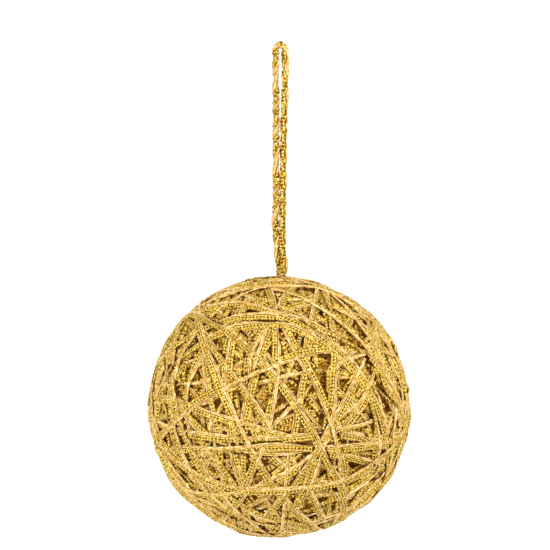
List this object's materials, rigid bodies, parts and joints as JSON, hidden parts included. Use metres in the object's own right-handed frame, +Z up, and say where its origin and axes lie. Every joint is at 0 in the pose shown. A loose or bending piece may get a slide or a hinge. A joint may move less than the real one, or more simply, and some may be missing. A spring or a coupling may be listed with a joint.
{
  "type": "jute ball ornament",
  "caption": "Hanging ball wound from flat jute and gold cord, with a long twisted loop of the same cord at its top.",
  "frame": {"origin": "the hang point, inside the fold at the top of the loop", "axes": "+Z up along the hanging loop, front of the ball towards -Y, +X to the right of the front"},
  "size_m": [0.0996, 0.0993, 0.1895],
  "materials": {
    "jute_cord": "natural jute cord, tan, matt",
    "gold_thread": "metallised gold film thread, glossy"
  },
  "bodies": {
    "root": {"wound_ball": "jute_cord", "hanging_loop": "jute_cord"}
  },
  "joints": []
}
